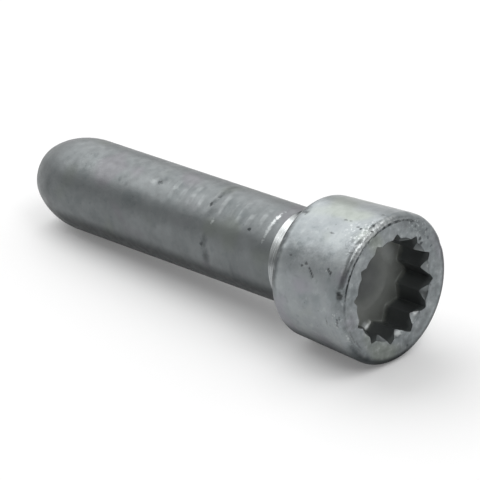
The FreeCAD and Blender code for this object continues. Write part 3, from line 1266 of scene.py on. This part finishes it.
HEAD_PITS = (
    Mark(3.3, 10.3, 149.5, 0.35, 0.25, 0.6),
    Mark(5.9, 10.45, 154, 0.35, 0.3),
    Mark(6.6, 10.5, 151.5, 0.45, 0.3),
    Mark(7.4, 10.5, 154.3, 0.33, 0.4),
    Mark(7.7, 10.5, 155.8, 0.3, 0.4),
    Mark(8.0, 10.55, 157.4, 0.28, 0.4),
    Mark(8.3, 10.55, 159, 0.25, 0.4, 0.8),
    Mark(10.7, 10.7, 150.3, 0.4, 0.38),
    Mark(11.0, 10.7, 151.4, 0.3, 0.35),
    Mark(11.3, 10.7, 152.6, 0.33, 0.5),
    Mark(8.3, 10.55, 123.5, 0.55, 0.22, 0.7),
    Mark(8.7, 10.6, 108.7, 0.5, 0.2, 0.6),
    Mark(9.5, 10.6, 108.3, 0.45, 0.2, 0.5),
    Mark(11.5, 10.7, 112, 0.5, 0.25, 0.8),
    Mark(12.2, 10.75, 113, 0.35, 0.28),
    Mark(13.4, 10.75, 106, 0.3, 0.35),
    Mark(13.7, 10.55, 110.7, 0.35, 0.3),
    Mark(12.7, 10.8, 91, 0.35, 0.35, 0.8),
    Mark(13.5, 10.7, 164.5, 0.5, 0.6, 0.8),
    Mark(11.3, 10.7, 189.5, 0.22, 0.7, 0.5),
    Mark(13.3, 10.77, 187, 0.25, 0.9),
    Mark(13.7, 10.6, 183.5, 0.22, 0.5),
    Mark(14.0, 7.95, 47, 0.5, 0.4),
    Mark(14.0, 7.55, 42, 0.5, 0.45),
    Mark(14.0, 9.6, 66, 0.35, 0.5, 0.7),
    Mark(14.0, 8.9, 38, 0.35, 0.4, 0.6),
    Mark(14.0, 8.6, 28, 0.35, 0.25, 0.6),
    Mark(14.0, 7.5, 347, 0.3, 0.25, 0.6),
    Mark(14.0, 9.5, 284, 0.35, 0.35, 0.6),
    # A dark patch at the top of the head's rear rim, where it meets the neck.
    Mark(1.3, 10.2, 111.7, 0.8, 0.7, 0.8),
    Mark(12.4, 10.76, 124.5, 0.5, 0.6, 0.45),
    Mark(14.0, 9.45, 206, 0.25, 1.8, 0.45),
    Mark(14.0, 9.3, 217, 0.22, 1.3, 0.35),
    Mark(14.0, 9.2, 60, 0.4, 0.35, 0.6),
    Mark(14.0, 9.5, 45, 0.35, 0.3, 0.6),
)
HEAD_STAINS = (
    # The first two make a dark patch at the top of the head's rear rim, where it meets the neck.
    Mark(0.9, 10.1, 108, 1.2, 1.3),
    Mark(1.7, 10.25, 111.5, 0.6, 0.8),
    Mark(14.0, 9.4, 72, 0.9, 2.2, 0.5),
    Mark(14.0, 9.0, 50, 1.0, 1.8, 0.35),
    Mark(14.0, 8.9, 308, 1.1, 2.6, 0.3),
    Mark(14.0, 9.3, 276, 1.0, 2.6, 0.35),
    Mark(9.0, 10.5, 216, 5.5, 3.0, 0.35),
    Mark(12.0, 10.74, 138, 1.3, 1.9, 0.35),
    Mark(14.0, 9.2, 283, 0.9, 1.4, 0.5),
    Mark(14.0, 9.2, 0, 1.6, 5.0, 0.14),
    Mark(14.0, 9.4, 205, 0.9, 1.6, 0.15),
    Mark(13.0, 10.7, 175, 1.4, 1.6, 0.35),
    Mark(13.2, 10.7, 163, 0.8, 1.0, 0.4),
    Mark(8.0, 10.5, 157, 1.2, 1.6, 0.25),
    Mark(11.2, 10.6, 165, 0.8, 0.6, 0.3),
    Mark(7.0, 10.5, 75, 0.9, 0.5, 0.4),
    Mark(12.8, 10.7, 92, 1.2, 0.8, 0.4),
)
# Scuff marks on the head, several of them painted highlights on its lit rim.
HEAD_SCUFFS_AND_HIGHLIGHTS = (
    Mark(13.0, 10.75, 118, 0.5, 0.35, 0.45),
    Mark(12.9, 10.75, 128, 0.4, 0.3, 0.25),
    Mark(10.45, 10.6, 151.5, 0.25, 0.22, 0.6),
    Mark(13.45, 10.7, 147.5, 0.5, 1.2, 0.35),
    Mark(7.5, 10.45, 147, 5.0, 2.0, 0.1),
    Mark(13.8, 10.1, 203, 0.3, 1.6, 0.4),
)
HEAD_ROUGH_PATCHES = (
    Mark(13.2, 10.7, 110, 1.4, 2.0),
    Mark(12.9, 10.7, 124, 1.6, 2.4),
    Mark(11.0, 10.6, 115, 1.6, 1.8, 0.6),
    Mark(13.2, 10.7, 186, 0.9, 1.6),
    Mark(13.9, 9.4, 56, 1.2, 3.2, 0.6),
)
RIM_DENTS = (
    Mark(13.5, 10.65, 102, 0.6, 0.7, 0.12),
    Mark(13.6, 10.6, 108, 0.7, 0.8, 0.16),
    Mark(13.2, 10.7, 113, 0.7, 0.8, 0.14),
    Mark(12.6, 10.75, 119, 1.1, 1.3, 0.12),
    Mark(13.5, 10.65, 125, 0.7, 0.9, 0.12),
    Mark(13.6, 10.6, 165, 0.6, 0.8, 0.12),
    Mark(13.5, 10.65, 186, 0.6, 1.1, 0.12),
    Mark(13.4, 10.7, 62, 0.8, 1.4, 0.12),
    Mark(13.6, 10.6, 20, 0.6, 0.9, 0.1),
    Mark(1.1, 10.1, 140, 1.0, 1.6, 0.1),
)
# Painted highlights on lit facets of the lead-in and on the blunt foot, and a painted patch of light on the
# floor.
SOCKET_HIGHLIGHTS = (
    Mark(13.5, 7.1, 277.5, 0.6, 0.8, 0.9),
    Mark(13.4, 7.05, 313, 0.5, 0.8, 0.8),
    Mark(13.7, 7.3, 9, 0.3, 0.5, 0.5),
    Mark(8.7, 6.7, 267.0, 0.7, 0.7),
    Mark(8.4, 5.6, 30, 1.6, 3.0, 0.4),
)
SHANK_PITS = (
    Mark(-28.4, 7.0, 118, 0.55, 0.45, 0.8),
    Mark(-17.0, 7.0, 110, 0.4, 0.5, 0.6),
    Mark(-17.3, 7.0, 124, 0.45, 0.45),
    Mark(-8.5, 7.0, 138, 0.5, 0.4),
    Mark(-16.6, 7.0, 172, 0.35, 0.6, 0.7),
)
SHANK_STAINS = (
    Mark(-28.6, 7.0, 117, 1.0, 0.9, 0.6),
    Mark(-28.0, 7.0, 112, 0.7, 1.0, 0.4),
    Mark(-17.2, 7.0, 90, 0.9, 2.0, 0.75),
    Mark(-17.1, 7.0, 105, 0.8, 1.8, 1.0),
    Mark(-17.2, 7.0, 118, 0.7, 1.2, 1.0),
    Mark(-16.4, 7.0, 132, 1.6, 1.1, 0.65),
    Mark(-50.5, 6.4, 176, 4.2, 4.6, 0.6),
    Mark(-52.3, 6.0, 158, 1.6, 3.2, 0.6),
    Mark(-16.6, 7.0, 98, 0.9, 1.6, 0.8),
    Mark(-16.2, 7.0, 170, 1.0, 1.8, 0.8),
    Mark(-15.8, 7.0, 187, 1.1, 2.2, 0.85),
    Mark(-35.8, 7.0, 131, 0.5, 0.7, 0.5),
    Mark(-34.2, 7.0, 134, 0.6, 0.7, 0.4),
    Mark(-10.8, 7.0, 192, 0.5, 1.6, 0.3),
)
# Pale marks in the thread's lit band: painted highlights on its flanks near the head, with scuff marks among
# them.
SHANK_SCUFFS_AND_HIGHLIGHTS = (
    Mark(-5.3, 7.0, 113, 0.4, 1.0, 0.8),
    Mark(-5.3, 7.0, 119, 0.4, 0.9, 0.6),
    Mark(-5.3, 7.0, 122, 0.4, 3.4, 0.3),
    Mark(-15.5, 7.0, 143, 0.35, 0.6, 0.3),
    Mark(-25.3, 7.0, 118, 0.7, 0.5, 0.12),
    Mark(-29.8, 7.0, 120, 0.8, 0.6, 0.12),
    Mark(-43.2, 7.0, 120, 2.2, 1.8, 0.06),
)


@dataclass
class HubBolt:
    """The whole bolt, one piece of steel."""

    shank: Shank = field(default_factory=Shank)
    head: Head = field(default_factory=Head)
    crest_slack: float = 0.02
    wall_slack: float = 0.05
    floor_slack: float = 0.5
    tooth_lip: float = 0.1
    corner_lip: float = 0.6

    def build(self, frame: dict) -> bpy.types.Object:
        """Draw the skin, lay it on the floor and dress it.


        Returns:
            The finished piece.
        """
        skin = self.shank.draw(self.head.socket.column_angles())
        self.head.draw(skin)
        self.shank.cut_thread(skin)
        skin.dent(RIM_DENTS)
        skin.close()
        piece = skin.finish()
        axes = BoltAxes.from_record(frame["record"], self.head.height)
        self.dress(piece, axes)
        self.lay_down(piece, axes)
        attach(piece, "root")
        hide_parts("hub_bolt")
        return piece

    def zone(self, along: float, out: float) -> Zone:
        """Choose the finish for a face of the skin.

        Args:
            along: Place of the face's middle along the axis.
            out: Distance of its middle from the axis.

        Returns:
            The finish that belongs there.
        """
        shank, head, socket = self.shank, self.head, self.head.socket
        if along < -shank.neck_length - shank.neck_slant:
            return Zone.THREAD
        if along < -shank.neck_fillet:
            return Zone.NECK if out < shank.thread_radius - self.crest_slack else Zone.THREAD
        if along > head.height - socket.depth - socket.dish - self.floor_slack:
            if out < socket.mouth / 2 + self.wall_slack and along < head.height - self.tooth_lip:
                return Zone.SOCKET
            if out < socket.across_points / 2 + self.wall_slack and along < head.height - self.corner_lip:
                return Zone.SOCKET
        return Zone.HEAD

    def dress(self, piece: bpy.types.Object, axes: BoltAxes) -> None:
        """Give each zone its finish and smooth the shading.

        Args:
            piece: The skin, still in its own axes and in millimetres.
            axes: Where those axes lie.
        """
        finishes = {
            Zone.HEAD: HeadCoat(
                "zinc_flake_coat",
                pale="989d9e", mid="8b9092", dark="7c8284", green="8b9189", violet="8b8a91", roughness=0.34,
                pits=HEAD_PITS, stains=HEAD_STAINS, scuffs_and_highlights=HEAD_SCUFFS_AND_HIGHLIGHTS, rough_patches=HEAD_ROUGH_PATCHES,
            ),
            Zone.THREAD: ThreadCoat(
                "zinc_flake_coat_on_thread",
                pale="767a7b", mid="6d7172", dark="636869", green="6d726e", violet="6e6d71", roughness=0.42,
                pits=SHANK_PITS, stains=SHANK_STAINS, scuffs_and_highlights=SHANK_SCUFFS_AND_HIGHLIGHTS,
            ),
            Zone.NECK: TurnedNeck(),
            Zone.SOCKET: SocketGrimeAndShade(scuffs_and_highlights=SOCKET_HIGHLIGHTS),
        }
        for zone in Zone:
            piece.data.materials.append(finishes[zone].material(axes))
        for face in piece.data.polygons:
            face.material_index = self.zone(face.center.z, math.hypot(face.center.x, face.center.y)).value
        piece.select_set(True)
        bpy.context.view_layer.objects.active = piece
        bpy.ops.object.shade_smooth_by_angle(angle=math.radians(SMOOTH_BELOW_DEG))

    def lay_down(self, piece: bpy.types.Object, axes: BoltAxes) -> None:
        """Move the mesh itself to where the bolt lies, in metres.

        Args:
            piece: The skin, in its own axes and in millimetres.
            axes: Where those axes lie.
        """
        piece.matrix_world = axes.placement @ Matrix.Scale(MM, 4)
        bpy.context.view_layer.update()
        bpy.ops.object.transform_apply(location=True, rotation=True, scale=True)


def towards(azimuth_deg: float, elevation_deg: float) -> Vector:
    """The direction from the bolt at an azimuth and elevation.

    Args:
        azimuth_deg: 0 is the near side and 90 the head's end.
        elevation_deg: Angle above the floor.

    Returns:
        A vector of length 1.
    """
    azimuth, elevation = math.radians(azimuth_deg), math.radians(elevation_deg)
    return Vector((
        math.sin(azimuth) * math.cos(elevation),
        -math.cos(azimuth) * math.cos(elevation),
        math.sin(elevation),
    ))


@dataclass
class SoftBox:
    """A soft rectangular lamp that faces the bolt, in metres."""

    name: str
    azimuth_deg: float
    elevation_deg: float
    distance: float
    width: float
    height: float
    brightness: float

    def place(self) -> None:
        """Add the lamp, as bright per square metre as its brightness says."""
        direction = towards(self.azimuth_deg, self.elevation_deg)
        bpy.ops.object.light_add(type="AREA", location=direction * self.distance)
        lamp = bpy.context.object
        lamp.name = self.name
        lamp.rotation_euler = direction.to_track_quat("Z", "Y").to_euler()
        lamp.data.shape = "RECTANGLE"
        lamp.data.size = self.width
        lamp.data.size_y = self.height
        lamp.data.energy = self.brightness * math.pi * self.width * self.height


@dataclass
class Studio:
    """Pale floor, soft lamps, a pale surrounding with a darker side behind the camera, and the camera.

    The camera's distance and aim are in millimetres. The surrounding's sides start and are whole at two
    cosines of the angle to the dark side's middle.
    """

    camera_azimuth_deg: float = 45.229
    camera_elevation_deg: float = 25.566
    camera_distance: float = 415.0
    camera_aim: tuple[float, float, float] = (5.59, -1.146, 9.249)
    focal_length: float = 218.5
    sensor_width: float = 36.0
    floor_size: float = 6.0
    floor_colour: str = "ececec"
    floor_lift: float = 0.15
    surrounding: str = "cacaca"
    dark_side: str = "303030"
    dark_azimuth_deg: float = 40.0
    dark_elevation_deg: float = 5.0
    dark_low: float = 0.45
    dark_high: float = 0.85
    far_side: str = "ececec"
    far_low: float = 0.0
    far_high: float = -0.6
    lamps: tuple[SoftBox, ...] = (
        SoftBox("window_left", 262.0, 46.0, 1.4, 1.9, 1.3, 1.52),
        SoftBox("lamp_over_camera", 64.0, 47.0, 1.2, 0.6, 0.36, 2.6),
        SoftBox("lamp_overhead", 100.0, 65.0, 1.2, 0.5, 0.5, 2.2),
    )

    def build(self) -> None:
        """Build the floor, the lamps, the surrounding and the camera."""
        self.add_floor()
        self.add_surrounding()
        for lamp in self.lamps:
            lamp.place()
            LOG.info("lamp %s", lamp.name)
        self.add_camera()

    def add_floor(self) -> None:
        """A near-white floor that keeps the bolt's shadow and shows white to the camera and in the metal."""
        bpy.ops.mesh.primitive_plane_add(size=self.floor_size)
        floor = bpy.context.object
        floor.name = "floor"
        made = bpy.data.materials.new("pale_floor")
        made.use_nodes = True
        tree = made.node_tree
        tree.nodes.clear()
        path = add_node(tree, "LightPath", {})
        shown = path.outputs["Is Camera Ray"]
        for name in ("Is Glossy Ray", "Is Transmission Ray"):
            shown = add_node(tree, "Math", {0: shown, 1: path.outputs[name]}, operation="ADD").outputs[0]
        lift = add_node(tree, "Math", {0: shown, 1: self.floor_lift}, operation="MULTIPLY")
        diffuse = add_node(tree, "BsdfDiffuse", {"Color": linear(self.floor_colour)})
        glow = add_node(tree, "Emission", {"Strength": lift.outputs[0]})
        both = add_node(tree, "AddShader", {0: diffuse.outputs[0], 1: glow.outputs[0]})
        add_node(tree, "OutputMaterial", {"Surface": both.outputs[0]})
        floor.data.materials.append(made)

    def add_surrounding(self) -> None:
        """Pale all round, paler on the far side, and dark low down on the side where the camera stands.

        The dark side shows in the metal that faces the camera, as a dim room does.
        """
        world = bpy.data.worlds.new("pale_surrounding")
        bpy.context.scene.world = world
        world.use_nodes = True
        tree = world.node_tree
        direction = add_node(tree, "TexCoord", {}).outputs["Generated"]
        dark = towards(self.dark_azimuth_deg, self.dark_elevation_deg)
        along_dark = add_node(tree, "VectorMath", {0: direction, 1: dark}, operation="DOT_PRODUCT")
        colour = linear(self.surrounding)
        for side, low, high in (
            (self.dark_side, self.dark_low, self.dark_high), (self.far_side, self.far_low, self.far_high),
        ):
            share = add_node(tree, "MapRange", {
                "Value": along_dark.outputs["Value"], "From Min": low, "From Max": high,
            }, interpolation_type="SMOOTHSTEP")
            mixed = add_node(tree, "Mix", {0: share.outputs[0], 6: colour, 7: linear(side)}, data_type="RGBA")
            colour = mixed.outputs[2]
        tree.links.new(colour, tree.nodes["Background"].inputs["Color"])

    def add_camera(self) -> None:
        """The camera at the photograph's angle."""
        back = towards(self.camera_azimuth_deg, self.camera_elevation_deg)
        place = (Vector(self.camera_aim) + back * self.camera_distance) * MM
        azimuth, elevation = math.radians(self.camera_azimuth_deg), math.radians(self.camera_elevation_deg)
        bpy.ops.object.camera_add(location=place, rotation=(math.pi / 2 - elevation, 0, azimuth))
        camera = bpy.context.object
        camera.data.lens = self.focal_length
        camera.data.sensor_width = self.sensor_width
        camera.data.clip_start = 0.01
        bpy.context.scene.camera = camera


def main() -> None:
    """Build the bolt and the studio."""
    logging.basicConfig(level=logging.INFO)
    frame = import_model()
    piece = HubBolt().build(frame)
    LOG.info("%s has %d faces", piece.name, len(piece.data.polygons))
    Studio().build()
    bpy.context.scene.view_settings.view_transform = "Standard"


if __name__ == "__main__":
    main()
